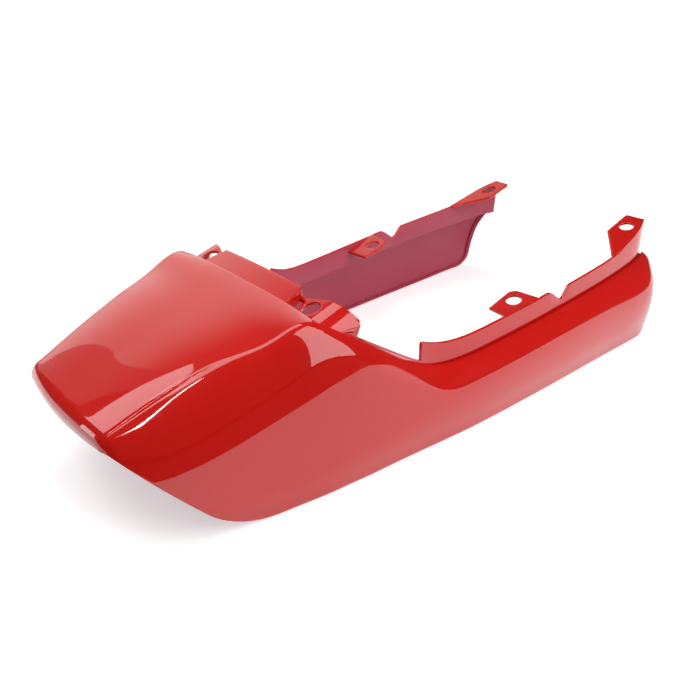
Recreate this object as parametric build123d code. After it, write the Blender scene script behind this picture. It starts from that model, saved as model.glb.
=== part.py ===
from build123d import *
import math
import os

# Motorcycle tail fairing: one painted plastic moulding, in millimetres.
# +X is the front of the bike, +Z is up and the XZ plane is the plane of symmetry.
# The fairing rests on the bottom edges of its two side panels, at Z = 0.
# Distances along the length are measured forward from the rearmost point of the tail.

# Overall. The distances below are those of a fairing this long, and another length stretches them
length = 604.5
drawn_length = 604.5
wall = 2.8
sky = 260.0

# Seat opening: where the deck ends and the arms begin
deck_front = 158.7

# Rows of the skin, each one a cross section. Distance from the tail; half width and height of the
# edge, which is the crease beside the deck and then the edge of the seat opening; slope on its deck
# side and on its flank side; rise from the edge to the middle; widest half width; half width at the foot
TAIL_ROWS = [
    (-4.0, 60.0, 89.3, 4, 46, 3.4, 60.0, 56.0),
    (10.0, 61.5, 94.7, 4, 42, 3.4, 75.5, 72.0),
    (24.0, 63.0, 100.5, 5, 37, 3.4, 85.0, 81.5),
    (44.0, 65.7, 108.7, 6, 30, 3.5, 93.3, 89.5),
    (72.0, 69.8, 119.2, 8, 20, 3.6, 100.8, 96.8),
    (96.0, 75.4, 126.6, 9, 16, 3.6, 105.6, 101.5),
    (122.0, 83.6, 132.4, 9, 15, 3.6, 110.0, 105.9),
    (deck_front, 93.4, 138.6, 8, 16, 3.8, 116.2, 111.8),
]
ARM_ROWS = [
    (172.0, 101.8, 128.8, 24, 24, 14.0, 118.0, 113.2),
    (190.0, 106.9, 116.8, 27, 27, 24.0, 120.2, 115.3),
    (216.0, 109.6, 99.2, 27, 27, 30.0, 122.9, 117.6),
    (243.0, 110.6, 81.2, 27, 27, 34.0, 125.7, 120.2),
    (268.0, 112.0, 68.4, 26, 26, 36.0, 128.2, 122.9),
    (296.0, 116.0, 65.0, 26, 26, 36.0, 130.8, 125.6),
    (340.0, 119.2, 66.2, 26, 26, 36.0, 133.7, 128.3),
    (400.0, 121.2, 69.3, 26, 26, 36.0, 136.3, 130.5),
    (460.0, 121.4, 72.4, 26, 26, 36.0, 138.1, 132.0),
    (520.0, 119.8, 75.1, 26, 26, 36.0, 139.5, 133.4),
    (564.0, 117.0, 77.5, 26, 26, 36.0, 139.8, 134.6),
    (590.0, 112.9, 79.4, 26, 26, 36.0, 133.4, 130.4),
    (612.0, 104.5, 80.8, 26, 26, 36.0, 116.0, 115.0),
]
widest_height = 38.0
shoulder_fullness = 0.62

# Tail end
tail_bow_radius = 370.0
tail_roll_radius = 7.0
tail_deck_height = 94.4
tail_deck_slope = 21.0
tail_lip_height = 85.0
lamp_rake = 50.0
lamp_foot = 78.0
lamp_foot_radius = 72.0

# Front end of the arms
nose_lean = 10.0
nose_foot = 590.0
nose_foot_radius = 20.0

# The seat opening is cut this far above the line of edges in the rows
edge_above = 1.2

# Return lip round the bottom, the lamp opening and the nose
lip_width = 6.0
lip_thickness = 2.4

# Seat flange along each arm: a groove behind the edge of the skin, then an upright wall
groove_rim = 1.4
groove_width = 2.6
groove_depth = 2.2
flange_wall = 2.8
flange_lean = 2.0
flange_room = 45.0
bead_start = 188.0
bead_rise = 1.4
FLANGE_TOP = [
    (256.0, 93.0),
    (272.0, 87.0),
    (297.0, 83.8),
    (322.0, 84.4),
    (360.0, 86.8),
    (401.0, 89.6),
]
bump_start = 403.0
bump_end = 421.0
bump_rise = 1.6
notch_middle = 437.0
notch_end = 447.0
notch_depth = 11.0
FLANGE_TOP_FRONT = [
    (449.0, 90.6),
    (512.0, 94.6),
    (534.0, 96.6),
    (drawn_length, 117.5),
]

# Mounting tabs, level on the bike and so tilted here
tab_tilt = 16.0
tab_thickness = 2.6
tab_hole = 14.3

mid_tab_hole_at = 387.8
mid_tab_hole_height = 86.7
mid_tab_hole_half = 95.0
mid_tab_back = 23.5
mid_tab_ahead = 14.5
mid_tab_inboard = 11.4
mid_tab_corner = 8.0

front_tab_hole_at = 582.9
front_tab_hole_height = 111.9
front_tab_hole_half = 92.0
front_tab_back = 16.5
front_tab_root = 53.0
front_tab_ahead = 20.5
front_tab_inboard = 12.5
front_tab_corner = 3.0
front_tab_root_half = 107.0
tab_root_reach = 28.0

# Rib under the root of each tab
tab_rib_thickness = 2.2
tab_rib_reach = 12.0
tab_rib_depth = 9.0
mid_tab_rib_back = 15.0
mid_rib_root = 18.5
front_tab_rib_back = 17.0
front_rib_root = 13.5

# Deck flange: a raised panel in the middle and a lower wing with a hole on each side
panel_reach = 19.0
panel_tilt = 17.0
panel_half = 57.0
panel_taper = 5.0
panel_end_depth = 8.5
panel_into_wing = 1.0
deck_flange_thickness = 2.5
wing_hole_at = 171.9
wing_hole_half = 69.4
wing_step = 5.2
wing_flat_half = 74.0
wing_ahead = 11.0
wing_end_half = 102.5
wing_end_at = 190.0
wing_end_point = 2.5
wing_end_drop = 13.0
wing_end_slope = 52.0
slot_width = 6.0
slot_front_bridge = 3.0
wing_into_riser = 1.2
riser_reach = 34.0


def at(distance):
    """Place along X of a distance from the tail."""
    return distance * length / drawn_length - length / 2


def section_curves(row, inset):
    """The three curves of half a cross section, from the deck's centre to the bottom edge."""
    distance, half, height, deck_slope, flank_slope, crown, widest, bottom = row
    mean = math.radians((deck_slope + flank_slope) / 2)
    deck = math.radians(deck_slope)
    flank = math.radians(flank_slope)
    top = (0.0, height + crown - inset)
    edge = (half - inset * math.sin(mean), height - inset * math.cos(mean))
    side = (widest - inset, widest_height)
    foot = (bottom - inset, 0.0)
    reach = 0.35 * edge[0]
    roll = shoulder_fullness * (side[0] - edge[0])
    drop = shoulder_fullness * (edge[1] - side[1])
    tuck = 0.45 * side[1]
    deck_curve = [
        top,
        (reach, top[1]),
        (edge[0] - reach * math.cos(deck), edge[1] + reach * math.sin(deck)),
        edge,
    ]
    flank_curve = [
        edge,
        (edge[0] + roll * math.cos(flank), edge[1] - roll * math.sin(flank)),
        (side[0], side[1] + drop),
        side,
    ]
    low_curve = [
        side,
        (side[0], side[1] - tuck),
        (foot[0] + (side[0] - foot[0]) * 0.45, foot[1] + tuck),
        foot,
    ]
    return deck_curve, flank_curve, low_curve


def section_wire(row, inset):
    """Half a cross section, closed along the plane of symmetry and the floor."""
    x = at(row[0])
    curves = section_curves(row, inset)
    edges = [Bezier(*[(x, y, z) for y, z in curve]) for curve in curves]
    foot = curves[2][3]
    top = curves[0][0]
    edges.append(Line((x, foot[0], foot[1]), (x, 0, foot[1])))
    edges.append(Line((x, 0, foot[1]), (x, top[0], top[1])))
    return Wire(edges)


def envelope(inset):
    """Half of the solid block inside the skin, its surface set in by the inset."""
    block = Solid.make_loft([section_wire(row, inset) for row in TAIL_ROWS + ARM_ROWS])
    return block & tail_bow(inset)


def tail_bow(inset):
    """Upright turned block: the bowed rear face of the tail, rolled over into the deck at its top."""
    centre = at(0) + tail_bow_radius
    roll = tail_roll_radius - inset
    slope = math.radians(tail_deck_slope)
    rise = tail_roll_radius * (math.tan(slope) - 1 / math.cos(slope))
    hub = (at(0) + tail_roll_radius, tail_deck_height + rise)
    rear = at(0) + inset
    top = (hub[0] - roll * math.sin(slope), hub[1] + roll * math.cos(slope))
    turn = math.radians(90 - tail_deck_slope) / 2
    middle = (hub[0] - roll * math.cos(turn), hub[1] + roll * math.sin(turn))
    base = Polyline((top[0], 0, top[1]), (top[0], 0, sky), (centre, 0, sky), (centre, 0, -sky),
                    (rear, 0, -sky), (rear, 0, hub[1]))
    round_over = ThreePointArc((rear, 0, hub[1]), (middle[0], 0, middle[1]), (top[0], 0, top[1]))
    profile = Face(Wire(base.edges() + round_over.edges()))
    bow = revolve(profile, Axis((centre, 0, 0), (0, 0, 1)), 360)
    ahead = Pos(centre + length, 0, 0) * Box(2 * length, 2 * sky, 2 * sky)
    return bow + ahead


def side_prism(edges):
    """A closed outline in the plane of symmetry, drawn out across half the fairing."""
    return Solid.extrude(Face(Wire(edges)), Vector(0, sky, 0))


def side_polygon(points):
    """Straight edges through points given as distance from the tail and height."""
    return Polyline(*[(at(d), 0, z) for d, z in points])


def body_outline(margin):
    """Side view of the body below its open top, its lower edges set in by a margin."""
    rake = math.radians(lamp_rake)
    lean = math.radians(nose_lean)
    low = tail_lip_height + margin
    foot = lamp_foot + margin / math.sin(rake) + margin / math.tan(rake)
    nose = nose_foot - margin / math.cos(lean) - margin * math.tan(lean)
    points = [
        (-20, sky),
        (-20, low),
        (foot - (low - margin) / math.tan(rake), low),
        (foot, margin),
        (nose, margin),
        (nose + (sky - margin) * math.tan(lean), sky),
    ]
    outline = make_face(Polyline(*[(at(d), z) for d, z in points], close=True))
    corners = outline.vertices().sort_by(Axis.Y)[:2].sort_by(Axis.X)
    outline = fillet(corners[0], lamp_foot_radius - margin)
    front = outline.vertices().filter_by(lambda v: abs(v.Y - margin) < 0.01).sort_by(Axis.X)[-1]
    outline = fillet(front, nose_foot_radius - margin)
    return Plane((0, 0, 0), x_dir=(1, 0, 0), z_dir=(0, -1, 0)) * outline


def body_prism(margin):
    return extrude(body_outline(margin), sky, dir=(0, 1, 0))


def seat_curve():
    """The edge of the seat opening from the deck's front to the nose, seen from the side."""
    last = TAIL_ROWS[-1]
    points = [(deck_front, last[2] - 1.0)] + [(row[0], row[2] + edge_above) for row in ARM_ROWS]
    return Spline(*[(at(d), 0, z) for d, z in points])


def seat_cut():
    """Everything above and ahead of the edge of the seat opening."""
    curve = seat_curve()
    start, end = curve @ 0, curve @ 1
    over = Polyline(end, (end.X + 40, 0, end.Z), (end.X + 40, 0, sky), (start.X, 0, sky), start)
    return side_prism([curve] + over.edges())


def polygon_wire(distance, points):
    x = at(distance)
    return Polyline(*[(x, y, z) for y, z in points], close=True)


def height_on(curve, distance):
    """Height of a side-view curve at a distance from the tail."""
    low, high = 0.0, 1.0
    for _ in range(40):
        middle = (low + high) / 2
        if (curve @ middle).X < at(distance):
            low = middle
        else:
            high = middle
    return (curve @ low).Z


def skin_half(block, distance, height):
    """Half width of the skin's outside at a distance from the tail and a height."""
    hits = block.find_intersection_points(Axis((at(distance), 1, height), (0, 1, 0)))
    return max(point.Y for point, _ in hits)


def arm_stations(outer):
    """Edge of the seat opening along the arm: distance from the tail, half width and height."""
    curve = seat_curve()
    distances = [bead_start] + [row[0] for row in ARM_ROWS if row[0] > bead_start + 4]
    bend = [(a + b) / 2 for a, b in zip(distances, distances[1:]) if b < 300]
    stations = []
    for distance in sorted(distances + bend):
        height = height_on(curve, distance)
        stations.append((distance, skin_half(outer, distance, height), height))
    return stations


def flange_block(stations):
    """Floor and upright wall of the arm's flange, before the groove and the top are cut."""
    wires = []
    for distance, half, height in stations:
        outside = half - groove_rim - groove_width / 2
        inside = half - groove_rim - groove_width - flange_wall
        floor = height - groove_depth
        tall = height + flange_room
        wires.append(polygon_wire(distance, [
            (outside, tall),
            (inside - flange_lean, tall),
            (inside, floor - flange_wall),
            (half + 2.0, floor - flange_wall),
            (half + 1.0, floor + 0.6),
            (outside, floor + 0.6),
        ]))
    return Solid.make_loft(wires)


def groove_cut(stations):
    """The channel between the edge of the skin and the flange's wall, open to the top."""
    wires = []
    for distance, half, height in stations:
        outside = half - groove_rim
        inside = outside - groove_width
        floor = height - groove_depth
        tall = height + flange_room + 1
        wires.append(polygon_wire(distance, [
            (outside, floor),
            (outside, tall),
            (inside - flange_lean, tall),
            (inside, floor),
        ]))
    return Solid.make_loft(wires)


def wall_core(stations):
    """Everything inboard of the middle of the flange's wall, where the tabs end."""
    wires = []
    for distance, half, height in stations:
        outside = half - groove_rim - groove_width - flange_wall / 2
        floor = height - groove_depth
        tall = height + flange_room
        wires.append(polygon_wire(distance, [
            (0.0, floor),
            (outside, floor),
            (outside - flange_lean, tall),
            (0.0, tall),
        ]))
    return Solid.make_loft(wires)


def flange_outline():
    """Side view of the flange: a low bead down the slope, then a wall with a bump and a notch."""
    start = FLANGE_TOP[0]
    rise = edge_above + bead_rise
    bead = [(row[0], row[2] + rise) for row in ARM_ROWS if row[0] < start[0]]
    bead_curve = Spline(*[(at(d), 0, z) for d, z in bead])
    rear = Spline(*[(at(d), 0, z) for d, z in FLANGE_TOP])
    top_end = FLANGE_TOP[-1]
    front = FLANGE_TOP_FRONT[0]
    middle = side_polygon([
        top_end,
        (bump_start, top_end[1] - bump_rise / 2),
        (bump_start + 1, top_end[1] + bump_rise / 2),
        (bump_end - 4, top_end[1] + bump_rise),
        (bump_end, top_end[1]),
        (notch_middle - 2, front[1] - notch_depth),
        (notch_middle + 2, front[1] - notch_depth),
        (notch_end, front[1] - 1),
    ] + FLANGE_TOP_FRONT + [
        (drawn_length, 40.0),
        (bead[0][0], 40.0),
        bead[0],
    ])
    foot = bead[-1]
    step = side_polygon([foot, (start[0] - 1, foot[1] - 6), start])
    return bead_curve.edges() + step.edges() + rear.edges() + middle.edges()


def tab_plane(hole_at, hole_height):
    """Plane of a tab's top face, through its hole, rising towards the front."""
    tilt = math.radians(tab_tilt)
    return Plane(
        (at(hole_at), 0, hole_height),
        x_dir=(math.cos(tilt), 0, math.sin(tilt)),
        z_dir=(-math.sin(tilt), 0, math.cos(tilt)),
    )


def mid_tab():
    """Tab halfway along the arm, with one rounded corner, before its root is trimmed."""
    outer_edge = mid_tab_hole_half + tab_root_reach
    inner_edge = mid_tab_hole_half - mid_tab_inboard
    outline = make_face(Polyline(
        (-mid_tab_back, outer_edge),
        (-mid_tab_back + 2, inner_edge),
        (mid_tab_ahead - 2, inner_edge),
        (mid_tab_ahead, outer_edge),
        close=True,
    ))
    corner = outline.vertices().sort_by(Axis.Y)[:2].sort_by(Axis.X)[-1]
    outline = fillet(corner, mid_tab_corner)
    outline -= Pos(0, mid_tab_hole_half) * Circle(tab_hole / 2)
    return extrude(tab_plane(mid_tab_hole_at, mid_tab_hole_height) * outline, -tab_thickness)


def front_tab():
    """Tab at the nose, widening forward from a slanting root, before its root is trimmed."""
    outer_edge = front_tab_hole_half + tab_root_reach
    inner_edge = front_tab_hole_half - front_tab_inboard
    outline = make_face(Polyline(
        (-front_tab_root, outer_edge),
        (-front_tab_root, front_tab_root_half),
        (-front_tab_back, inner_edge),
        (front_tab_ahead, inner_edge),
        (front_tab_ahead, outer_edge),
        close=True,
    ))
    corner = outline.vertices().sort_by(Axis.Y)[:2].sort_by(Axis.X)[-1]
    outline = fillet(corner, front_tab_corner)
    outline -= Pos(0, front_tab_hole_half) * Circle(tab_hole / 2)
    return extrude(tab_plane(front_tab_hole_at, front_tab_hole_height) * outline, -tab_thickness)


def tab_rib(hole_at, hole_height, hole_half, back, reach):
    """Three-cornered rib between the underside of a tab and the flange's wall."""
    outer_edge = hole_half + reach
    inner = outer_edge - tab_rib_reach
    into = tab_thickness / 2
    section = make_face(Polyline(
        (-back, outer_edge, -into),
        (-back, inner, -into),
        (-back, inner, -tab_thickness),
        (-back, outer_edge, -tab_thickness - tab_rib_depth),
        close=True,
    ))
    return tab_plane(hole_at, hole_height) * extrude(section, tab_rib_thickness, dir=(1, 0, 0))


def panel_section(distance, half, height):
    """Half a cross section of the raised panel: crowned top and a short end wall."""
    x = at(distance)
    last = TAIL_ROWS[-1]
    crown = last[5] * (half / last[1]) ** 2
    inner = half - deck_flange_thickness
    under = height - deck_flange_thickness
    top = Bezier((x, 0, height + crown), (x, half / 2, height + crown), (x, half, height))
    low = Bezier((x, inner, under), (x, half / 2, under + crown), (x, 0, under + crown))
    return Wire([
        top,
        Line((x, half, height), (x, half, height - panel_end_depth)),
        Line((x, half, height - panel_end_depth), (x, inner, height - panel_end_depth)),
        Line((x, inner, height - panel_end_depth), (x, inner, under)),
        low,
        Line((x, 0, under + crown), (x, 0, height + crown)),
    ])


def wing_height(distance):
    """Height of the wing's flat top, which rises forward from a step below the deck's edge."""
    rise = math.tan(math.radians(panel_tilt))
    return TAIL_ROWS[-1][2] - wing_step + (distance - deck_front) * rise


def raised_panel():
    """Middle of the deck flange, folded up from the deck's front edge."""
    sections = []
    for reach in (-wall, panel_reach):
        half = panel_half - panel_taper * reach / panel_reach
        height = wing_height(deck_front + reach) + panel_end_depth - panel_into_wing
        sections.append(panel_section(deck_front + reach, half, height))
    return Solid.make_loft(sections)


def wing_section(distance):
    """Cross section of the lower wing: flat round its hole, then rolled down at its outer end."""
    x = at(distance)
    height = wing_height(distance)
    slope = math.radians(wing_end_slope)
    end_half = wing_end_half + 6
    end = (end_half, height - wing_end_drop - 6 * math.tan(slope))
    inner = panel_half - panel_taper - deck_flange_thickness
    bend = (end[0] - 14 * math.cos(slope), end[1] + 14 * math.sin(slope))
    thick = deck_flange_thickness
    across, down = thick * math.sin(slope), thick * math.cos(slope)
    return Wire([
        Line((x, inner, height), (x, wing_flat_half, height)),
        Bezier((x, wing_flat_half, height), (x, wing_flat_half + 12, height),
               (x, bend[0], bend[1]), (x, end[0], end[1])),
        Line((x, end[0], end[1]), (x, end[0] - across, end[1] - down)),
        Bezier((x, end[0] - across, end[1] - down), (x, bend[0] - across, bend[1] - down),
               (x, wing_flat_half + 11, height - thick), (x, wing_flat_half, height - thick)),
        Line((x, wing_flat_half, height - thick), (x, inner, height - thick)),
        Line((x, inner, height - thick), (x, inner, height)),
    ])


def wing():
    """Lower side piece of the deck flange, with its slot and its hole."""
    back = deck_front - wing_into_riser
    plate = Solid.make_loft([wing_section(back), wing_section(deck_front + 40)])
    inner = panel_half - panel_taper - deck_flange_thickness
    edge, corner = TAIL_ROWS[-1], ARM_ROWS[0]
    middle = (deck_front + corner[0]) / 2
    plan = make_face(Polyline(
        (at(back), inner),
        (at(deck_front + panel_reach), inner),
        (at(deck_front + panel_reach), panel_half + slot_width - panel_taper),
        (at(wing_hole_at + wing_ahead), wing_hole_half),
        (at(wing_end_at + wing_end_point), wing_end_half - wing_end_point),
        (at(wing_end_at), wing_end_half),
        (at(corner[0]), corner[1]),
        (at(middle), (edge[1] + corner[1]) / 2 + 0.6),
        (at(back), edge[1] - 0.4),
        close=True,
    ))
    plate = plate & extrude(plan, sky)
    slot = make_face(Polyline(
        (at(deck_front - 1), panel_half),
        (at(deck_front - 1), panel_half + slot_width),
        (at(deck_front + panel_reach - slot_front_bridge), panel_half + slot_width - panel_taper),
        (at(deck_front + panel_reach - slot_front_bridge), panel_half - panel_taper),
        close=True,
    ))
    plate -= extrude(slot, sky)
    tilt = math.radians(panel_tilt)
    through = Plane(
        (at(wing_hole_at), wing_hole_half, wing_height(wing_hole_at)),
        x_dir=(math.cos(tilt), 0, math.sin(tilt)),
        z_dir=(-math.sin(tilt), 0, math.cos(tilt)),
    )
    return plate - through * Cylinder(tab_hole / 2, 20)


def deck_riser(outer, cut):
    """Short step down from the edge of the deck to its flange, before the opening is cut."""
    ahead = Pos(-deck_flange_thickness, 0, 0) * cut
    span = Pos(at(deck_front + riser_reach / 2), 50, 0) * Box(riser_reach + 20, 120, 2 * sky)
    below = Solid.make_loft([riser_floor(deck_front - 20), riser_floor(deck_front + 60)])
    return (outer & ahead & span) - below


def riser_floor(distance):
    """Cross section of the space below the middle of the wing's thickness."""
    x = at(distance)
    sink = deck_flange_thickness / 2
    height = wing_height(distance) - sink
    slope = math.radians(wing_end_slope)
    across = sink * math.sin(slope)
    end_half = wing_end_half + 6
    end = (end_half - across, height - wing_end_drop - 6 * math.tan(slope))
    bend = (end[0] - 14 * math.cos(slope), end[1] + 14 * math.sin(slope))
    return Wire([
        Line((x, -10, height), (x, wing_flat_half, height)),
        Bezier((x, wing_flat_half, height), (x, wing_flat_half + 11.5, height),
               (x, bend[0], bend[1]), (x, end[0], end[1])),
        Line((x, end[0], end[1]), (x, end[0], 0)),
        Line((x, end[0], 0), (x, -10, 0)),
        Line((x, -10, 0), (x, -10, height)),
    ])


def half_fairing():
    outer = envelope(0)
    inner = envelope(wall)
    body = body_prism(0)
    cut = seat_cut()
    skin = (outer - inner) & body
    skin += (outer - envelope(lip_width)) & (body - body_prism(lip_thickness))
    skin += deck_riser(outer, cut)
    skin -= cut
    stations = arm_stations(outer)
    skin += flange_block(stations) & side_prism(flange_outline())
    skin -= groove_cut(stations)
    tabs = mid_tab() + front_tab()
    tabs += tab_rib(mid_tab_hole_at, mid_tab_hole_height, mid_tab_hole_half, mid_tab_rib_back, mid_rib_root)
    tabs += tab_rib(front_tab_hole_at, front_tab_hole_height, front_tab_hole_half,
                    front_tab_rib_back, front_rib_root)
    skin += tabs & wall_core(stations)
    skin += raised_panel()
    skin += wing()
    return skin


def main():
    half = half_fairing()
    whole = half + mirror(half, Plane.XZ)
    os.makedirs("parts", exist_ok=True)
    export_step(whole, "parts/tail_fairing.step")


if __name__ == "__main__":
    main()
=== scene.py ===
import math

import bmesh
import bpy
import numpy as np
from mathutils import Matrix, Quaternion, Vector


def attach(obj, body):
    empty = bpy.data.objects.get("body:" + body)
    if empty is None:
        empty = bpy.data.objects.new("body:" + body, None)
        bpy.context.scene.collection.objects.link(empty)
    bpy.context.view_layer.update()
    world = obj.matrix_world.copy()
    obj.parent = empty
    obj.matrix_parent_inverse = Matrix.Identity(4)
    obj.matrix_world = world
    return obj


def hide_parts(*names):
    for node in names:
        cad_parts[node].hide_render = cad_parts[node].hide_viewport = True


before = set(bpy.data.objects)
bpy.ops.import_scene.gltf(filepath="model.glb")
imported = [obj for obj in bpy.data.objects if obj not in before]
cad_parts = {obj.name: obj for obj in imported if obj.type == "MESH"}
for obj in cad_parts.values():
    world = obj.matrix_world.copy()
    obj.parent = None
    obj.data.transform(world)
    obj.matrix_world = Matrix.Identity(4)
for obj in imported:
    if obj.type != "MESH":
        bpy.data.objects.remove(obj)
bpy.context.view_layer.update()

# Sizes in millimetres, as in the part's source, but for the six sections nearest the tail (see ROWS)
LENGTH = 604.5
WALL = 2.8
DECK_FRONT = 158.7
EDGE_ABOVE = 1.2
WIDEST_HEIGHT = 38.0
FULLNESS = 0.62
TAIL_BOW = 370.0
TAIL_ROLL = 7.0
TAIL_LIP_HEIGHT = 85.0
LAMP_RAKE = 50.0
LAMP_FOOT = 78.0
LAMP_RADIUS = 72.0
NOSE_LEAN = 10.0
NOSE_FOOT = 590.0
NOSE_RADIUS = 20.0
LIP_WIDTH = 6.0
LIP_THICKNESS = 2.4
GROOVE_RIM = 1.4
GROOVE_WIDTH = 2.6
GROOVE_DEPTH = 2.2
FLANGE_WALL = 2.8
FLANGE_LEAN = 2.0
FLANGE_ROOM = 45.0

# Sections of the skin, one a row: distance from the tail; half width and height of the crease; slopes of
# the deck and of the flank at the crease, in degrees; crown of the deck; half widths where widest and at
# the foot. The first six have more crown and a steeper deck at the crease than the part's source; with the
# step below, their deck lies up to 3 mm higher.
ROWS = np.array([
    (-4.0, 60.0, 89.3, 16, 44, 5.0, 60.0, 56.0),
    (10.0, 61.5, 94.7, 16, 38, 5.2, 75.5, 72.0),
    (24.0, 63.0, 100.5, 16, 32, 5.2, 85.0, 81.5),
    (44.0, 65.7, 108.7, 15, 26, 5.0, 93.3, 89.5),
    (72.0, 69.8, 119.2, 12, 19, 4.4, 100.8, 96.8),
    (96.0, 75.4, 126.6, 10, 16, 3.7, 105.6, 101.5),
    (122.0, 83.6, 132.4, 9, 15, 3.6, 110.0, 105.9),
    (158.7, 93.4, 138.6, 8, 16, 3.8, 116.2, 111.8),
    (172.0, 101.8, 128.8, 24, 24, 14.0, 118.0, 113.2),
    (190.0, 106.9, 116.8, 27, 27, 24.0, 120.2, 115.3),
    (216.0, 109.6, 99.2, 27, 27, 30.0, 122.9, 117.6),
    (243.0, 110.6, 81.2, 27, 27, 34.0, 125.7, 120.2),
    (268.0, 112.0, 68.4, 26, 26, 36.0, 128.2, 122.9),
    (296.0, 116.0, 65.0, 26, 26, 36.0, 130.8, 125.6),
    (340.0, 119.2, 66.2, 26, 26, 36.0, 133.7, 128.3),
    (400.0, 121.2, 69.3, 26, 26, 36.0, 136.3, 130.5),
    (460.0, 121.4, 72.4, 26, 26, 36.0, 138.1, 132.0),
    (520.0, 119.8, 75.1, 26, 26, 36.0, 139.5, 133.4),
    (564.0, 117.0, 77.5, 26, 26, 36.0, 139.8, 134.6),
    (590.0, 112.9, 79.4, 26, 26, 36.0, 133.4, 130.4),
    (612.0, 104.5, 80.8, 26, 26, 36.0, 116.0, 115.0),
])

# The deck ends in a small step at its crease, and the shoulder beside it swells; both die out forward
CREASE_STEP = 1.3
CREASE_STEP_WIDTH = 0.9
CREASE_STEP_REACH = 30.0
SHOULDER_RISE = 0.9
SHOULDER_PLACE = 4.0
SHOULDER_REACH = 40.0
CREASE_END = 104.0
CREASE_FADE = 56.0


def spline(knots, values, where):
    """Smooth curve through the knots, straight at both ends, for one or several columns."""
    knots = np.asarray(knots, float)
    values = np.asarray(values, float)
    where = np.asarray(where, float)
    n = len(knots)
    h = np.diff(knots)
    slope = np.diff(values, axis=0) / (h if values.ndim == 1 else h[:, None])
    system = np.zeros((n, n))
    right = np.zeros(values.shape)
    system[0, 0] = system[-1, -1] = 1
    for i in range(1, n - 1):
        system[i, i - 1] = h[i - 1]
        system[i, i] = 2 * (h[i - 1] + h[i])
        system[i, i + 1] = h[i]
        right[i] = 6 * (slope[i] - slope[i - 1])
    bend = np.linalg.solve(system, right)
    k = np.clip(np.searchsorted(knots, where) - 1, 0, n - 2)
    a = (knots[k + 1] - where) / h[k]
    b = 1 - a
    if values.ndim > 1:
        a, b, hk = a[..., None], b[..., None], h[k][..., None]
    else:
        hk = h[k]
    return (a * values[k] + b * values[k + 1]
            + ((a ** 3 - a) * bend[k] + (b ** 3 - b) * bend[k + 1]) * hk ** 2 / 6)


def bezier(p0, p1, p2, p3, t):
    """Points of a cubic curve."""
    t = t[..., None]
    return (1 - t) ** 3 * p0 + 3 * (1 - t) ** 2 * t * p1 + 3 * (1 - t) * t ** 2 * p2 + t ** 3 * p3


def skin(distance, t, inset):
    """Half width and height of the skin: t runs 0-1 over the deck, 1-2 down the flank, 2-3 to the foot."""
    distance, t, inset = np.broadcast_arrays(
        np.asarray(distance, float), np.asarray(t, float), np.asarray(inset, float))
    row = spline(ROWS[:, 0], ROWS[:, 1:], distance)
    half, height, deck, flank, crown, widest, bottom = [row[..., i] for i in range(7)]
    mean = np.radians((deck + flank) / 2)
    deck = np.radians(deck)
    flank = np.radians(flank)

    def point(y, z):
        return np.stack([y, z], -1)

    zero = np.zeros_like(half)
    top = point(zero, height + crown - inset)
    edge = point(half - inset * np.sin(mean), height - inset * np.cos(mean))
    side = point(widest - inset, zero + WIDEST_HEIGHT)
    foot = point(bottom - inset, zero)
    reach = 0.35 * edge[..., 0]
    roll = FULLNESS * (side[..., 0] - edge[..., 0])
    drop = FULLNESS * (edge[..., 1] - side[..., 1])
    tuck = 0.45 * WIDEST_HEIGHT
    on_deck = bezier(
        top, point(reach, top[..., 1]),
        point(edge[..., 0] - reach * np.cos(deck), edge[..., 1] + reach * np.sin(deck)),
        edge, np.clip(t, 0, 1))
    on_flank = bezier(
        edge, point(edge[..., 0] + roll * np.cos(flank), edge[..., 1] - roll * np.sin(flank)),
        point(side[..., 0], side[..., 1] + drop), side, np.clip(t - 1, 0, 1))
    on_low = bezier(
        side, point(side[..., 0], side[..., 1] - tuck),
        point(foot[..., 0] + (side[..., 0] - foot[..., 0]) * 0.45, foot[..., 1] + tuck),
        foot, np.clip(t - 2, 0, 1))
    fade = np.clip((CREASE_END - distance) / CREASE_FADE, 0, 1)
    fade = fade * fade * (3 - 2 * fade)
    inboard = np.clip(edge[..., 0] - on_deck[..., 0], 0, None)
    outboard = np.clip(on_flank[..., 0] - edge[..., 0], 0, None)
    step = (1 - np.exp(-inboard / CREASE_STEP_WIDTH)) * np.exp(-inboard / CREASE_STEP_REACH)
    swell = outboard / SHOULDER_PLACE * np.exp(1 - outboard / SHOULDER_PLACE) * (outboard < SHOULDER_REACH)
    on_deck[..., 1] += fade * CREASE_STEP * step
    on_flank[..., 1] += fade * SHOULDER_RISE * swell
    out = np.where((t <= 1)[..., None], on_deck, np.where((t <= 2)[..., None], on_flank, on_low))
    return out[..., 0], out[..., 1]


def arc(cx, cz, radius, start, end, count):
    """Points of a round, from one angle to another in degrees."""
    angles = np.radians(np.linspace(start, end, count))
    return np.stack([cx + radius * np.cos(angles), cz + radius * np.sin(angles)], -1)


def low_outline(margin):
    """Side view of the lower edge: tail lip, raked lamp opening, floor and leaning nose."""
    rake = math.radians(LAMP_RAKE)
    lean = math.radians(NOSE_LEAN)
    low = TAIL_LIP_HEIGHT + margin
    foot = LAMP_FOOT + margin / math.sin(rake) + margin / math.tan(rake)
    nose = NOSE_FOOT - margin / math.cos(lean) - margin * math.tan(lean)
    big = LAMP_RADIUS - margin
    small = NOSE_RADIUS - margin
    back = foot + big * math.tan(rake / 2)
    front = nose - small * math.tan((math.pi / 2 - lean) / 2)
    points = [
        [(-30, low), (foot - (low - margin) / math.tan(rake), low)],
        arc(back, margin + big, big, -90 - LAMP_RAKE, -90, 40),
        arc(front, margin + small, small, -90, -NOSE_LEAN, 24),
        [(nose + 150 * math.tan(lean), margin + 150)],
    ]
    return np.concatenate([np.asarray(p, float) for p in points])


OUTLINES = {m: low_outline(m) for m in (0.0, LIP_THICKNESS)}


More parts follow.
